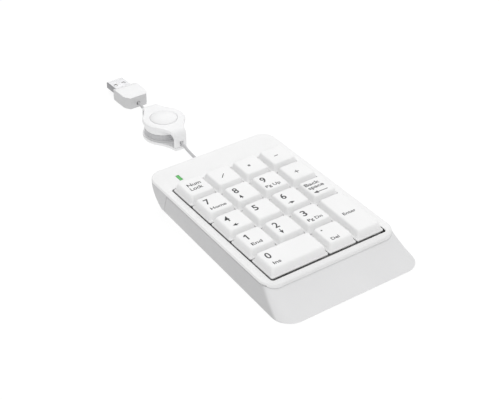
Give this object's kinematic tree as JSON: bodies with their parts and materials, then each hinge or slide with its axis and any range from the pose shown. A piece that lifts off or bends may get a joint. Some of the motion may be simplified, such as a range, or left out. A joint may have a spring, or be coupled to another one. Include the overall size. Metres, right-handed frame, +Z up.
{
  "type": "numeric keypad",
  "caption": "Low white numeric keypad with sloping skirt, status light, spring-return keys, and a cable running through a round retracting reel to a flat metal plug.",
  "frame": {"origin": "middle of the keypad's footprint, on the desk under its feet; cable, reel and plug lie beyond its rear edge and aren't counted", "axes": "+X to the user's right, +Y to the rear, where the cable leaves, +Z up"},
  "size_m": [0.0938, 0.2694, 0.0234],
  "materials": {
    "white_plastic": "fine satin moulding texture",
    "skirt_plastic": "fine satin moulding texture",
    "keycap_plastic": "fine matt texture, printed legends",
    "silicone_rubber": "translucent moulded sheet",
    "foot_rubber": "matt",
    "membrane_film": "thin polyester film",
    "circuit_board": "lacquered board",
    "black_epoxy": "poured drop",
    "steel": "plated",
    "green_lens": "clear tinted",
    "cord_jacket": "soft extruded jacket",
    "reel_plastic": "semi-gloss",
    "spool_plastic": "moulded",
    "plug_tongue": "moulded",
    "contact_gold": "gold plated"
  },
  "bodies": {
    "case": {"top_case": "white_plastic", "bottom_case": "skirt_plastic", "rubber_dome_sheet": "silicone_rubber", "membrane_upper": "membrane_film", "membrane_spacer": "membrane_film", "membrane_lower": "membrane_film", "controller_board": "circuit_board", "controller_chip": "black_epoxy", "status_led": "green_lens", "led_window": "green_lens", "membrane_clamp_bar": "steel", "case_screw_front_left": "steel", "case_screw_front_right": "steel", "case_screw_rear_left": "steel", "case_screw_rear_right": "steel", "board_screw_left": "steel", "board_screw_right": "steel", "foot_front_left": "foot_rubber", "foot_front_right": "foot_rubber", "foot_rear_left": "foot_rubber", "foot_rear_right": "foot_rubber", "cable_grommet": "cord_jacket", "cable_inner_lead": "cord_jacket", "cord_keypad_to_reel": "cord_jacket", "cord_reel_to_plug": "cord_jacket", "reel_bottom_shell": "reel_plastic", "reel_top_shell": "reel_plastic", "reel_cap": "reel_plastic", "reel_spiral_spring": "steel", "reel_axle_screw": "steel", "plug_body": "reel_plastic", "plug_metal_shell": "steel", "plug_tongue": "plug_tongue", "plug_contact_1": "contact_gold", "plug_contact_2": "contact_gold", "plug_contact_3": "contact_gold", "plug_contact_4": "contact_gold"},
    "key_0": {"key_0": "keycap_plastic"},
    "key_decimal": {"key_decimal": "keycap_plastic"},
    "key_enter": {"key_enter": "keycap_plastic"},
    "key_1": {"key_1": "keycap_plastic"},
    "key_2": {"key_2": "keycap_plastic"},
    "key_3": {"key_3": "keycap_plastic"},
    "key_4": {"key_4": "keycap_plastic"},
    "key_5": {"key_5": "keycap_plastic"},
    "key_6": {"key_6": "keycap_plastic"},
    "key_backspace": {"key_backspace": "keycap_plastic"},
    "key_7": {"key_7": "keycap_plastic"},
    "key_8": {"key_8": "keycap_plastic"},
    "key_9": {"key_9": "keycap_plastic"},
    "key_plus": {"key_plus": "keycap_plastic"},
    "key_num_lock": {"key_num_lock": "keycap_plastic"},
    "key_divide": {"key_divide": "keycap_plastic"},
    "key_multiply": {"key_multiply": "keycap_plastic"},
    "key_minus": {"key_minus": "keycap_plastic"},
    "stabiliser_0": {"stabiliser_wire_0": "steel"},
    "stabiliser_enter": {"stabiliser_wire_enter": "steel"},
    "reel_spool": {"reel_spool": "spool_plastic", "reel_wound_cord": "cord_jacket"},
    "ratchet_ball": {"reel_ratchet_ball": "steel"}
  },
  "joints": [
    {"name": "key_0_press", "type": "slide", "parent": "case", "child": "key_0", "axis": [0, 0.0405, -0.9992], "range_m": [0, 0.003], "stiffness_N_per_m": 180, "springref_m": -0.0003, "deforming": ["rubber_dome_sheet"]},
    {"name": "key_decimal_press", "type": "slide", "parent": "case", "child": "key_decimal", "axis": [0, 0.0405, -0.9992], "range_m": [0, 0.003], "stiffness_N_per_m": 180, "springref_m": -0.0003, "deforming": ["rubber_dome_sheet"]},
    {"name": "key_enter_press", "type": "slide", "parent": "case", "child": "key_enter", "axis": [0, 0.0405, -0.9992], "range_m": [0, 0.003], "stiffness_N_per_m": 180, "springref_m": -0.0003, "deforming": ["rubber_dome_sheet"]},
    {"name": "key_1_press", "type": "slide", "parent": "case", "child": "key_1", "axis": [0, 0.0405, -0.9992], "range_m": [0, 0.003], "stiffness_N_per_m": 180, "springref_m": -0.0003, "deforming": ["rubber_dome_sheet"]},
    {"name": "key_2_press", "type": "slide", "parent": "case", "child": "key_2", "axis": [0, 0.0405, -0.9992], "range_m": [0, 0.003], "stiffness_N_per_m": 180, "springref_m": -0.0003, "deforming": ["rubber_dome_sheet"]},
    {"name": "key_3_press", "type": "slide", "parent": "case", "child": "key_3", "axis": [0, 0.0405, -0.9992], "range_m": [0, 0.003], "stiffness_N_per_m": 180, "springref_m": -0.0003, "deforming": ["rubber_dome_sheet"]},
    {"name": "key_4_press", "type": "slide", "parent": "case", "child": "key_4", "axis": [0, 0.0405, -0.9992], "range_m": [0, 0.003], "stiffness_N_per_m": 180, "springref_m": -0.0003, "deforming": ["rubber_dome_sheet"]},
    {"name": "key_5_press", "type": "slide", "parent": "case", "child": "key_5", "axis": [0, 0.0405, -0.9992], "range_m": [0, 0.003], "stiffness_N_per_m": 180, "springref_m": -0.0003, "deforming": ["rubber_dome_sheet"]},
    {"name": "key_6_press", "type": "slide", "parent": "case", "child": "key_6", "axis": [0, 0.0405, -0.9992], "range_m": [0, 0.003], "stiffness_N_per_m": 180, "springref_m": -0.0003, "deforming": ["rubber_dome_sheet"]},
    {"name": "key_backspace_press", "type": "slide", "parent": "case", "child": "key_backspace", "axis": [0, 0.0405, -0.9992], "range_m": [0, 0.003], "stiffness_N_per_m": 180, "springref_m": -0.0003, "deforming": ["rubber_dome_sheet"]},
    {"name": "key_7_press", "type": "slide", "parent": "case", "child": "key_7", "axis": [0, 0.0405, -0.9992], "range_m": [0, 0.003], "stiffness_N_per_m": 180, "springref_m": -0.0003, "deforming": ["rubber_dome_sheet"]},
    {"name": "key_8_press", "type": "slide", "parent": "case", "child": "key_8", "axis": [0, 0.0405, -0.9992], "range_m": [0, 0.003], "stiffness_N_per_m": 180, "springref_m": -0.0003, "deforming": ["rubber_dome_sheet"]},
    {"name": "key_9_press", "type": "slide", "parent": "case", "child": "key_9", "axis": [0, 0.0405, -0.9992], "range_m": [0, 0.003], "stiffness_N_per_m": 180, "springref_m": -0.0003, "deforming": ["rubber_dome_sheet"]},
    {"name": "key_plus_press", "type": "slide", "parent": "case", "child": "key_plus", "axis": [0, 0.0405, -0.9992], "range_m": [0, 0.003], "stiffness_N_per_m": 180, "springref_m": -0.0003, "deforming": ["rubber_dome_sheet"]},
    {"name": "key_num_lock_press", "type": "slide", "parent": "case", "child": "key_num_lock", "axis": [0, 0.0405, -0.9992], "range_m": [0, 0.003], "stiffness_N_per_m": 180, "springref_m": -0.0003, "deforming": ["rubber_dome_sheet"]},
    {"name": "key_divide_press", "type": "slide", "parent": "case", "child": "key_divide", "axis": [0, 0.0405, -0.9992], "range_m": [0, 0.003], "stiffness_N_per_m": 180, "springref_m": -0.0003, "deforming": ["rubber_dome_sheet"]},
    {"name": "key_multiply_press", "type": "slide", "parent": "case", "child": "key_multiply", "axis": [0, 0.0405, -0.9992], "range_m": [0, 0.003], "stiffness_N_per_m": 180, "springref_m": -0.0003, "deforming": ["rubber_dome_sheet"]},
    {"name": "key_minus_press", "type": "slide", "parent": "case", "child": "key_minus", "axis": [0, 0.0405, -0.9992], "range_m": [0, 0.003], "stiffness_N_per_m": 180, "springref_m": -0.0003, "deforming": ["rubber_dome_sheet"]},
    {"name": "stabiliser_0_turn", "type": "hinge", "parent": "case", "child": "stabiliser_0", "pos_m": [-0.01905, -0.03369, 0.01312], "axis": [1, 0, 0], "range_deg": [0, 21.62]},
    {"name": "stabiliser_enter_turn", "type": "hinge", "parent": "case", "child": "stabiliser_enter", "pos_m": [0.03168, -0.02727, 0.01338], "axis": [0, -0.9992, -0.0405], "range_deg": [0, 21.62]},
    {"name": "reel_spool_turn", "type": "hinge", "parent": "case", "child": "reel_spool", "pos_m": [0.0063, 0.1292, 0], "axis": [0, 0, 1], "range_deg": [0, 1440], "stiffness_Nm_per_rad": 0.00005},
    {"name": "ratchet_ball_slide", "type": "slide", "parent": "case", "child": "ratchet_ball", "axis": [0.0523, 0.9986, 0], "range_m": [-0.0012, 0.0007]}
  ],
  "couplings": [
    {"joint": "stabiliser_0_turn", "follows": "key_0_press", "rad_per_m": 125.7},
    {"joint": "stabiliser_enter_turn", "follows": "key_enter_press", "rad_per_m": 125.7}
  ]
}
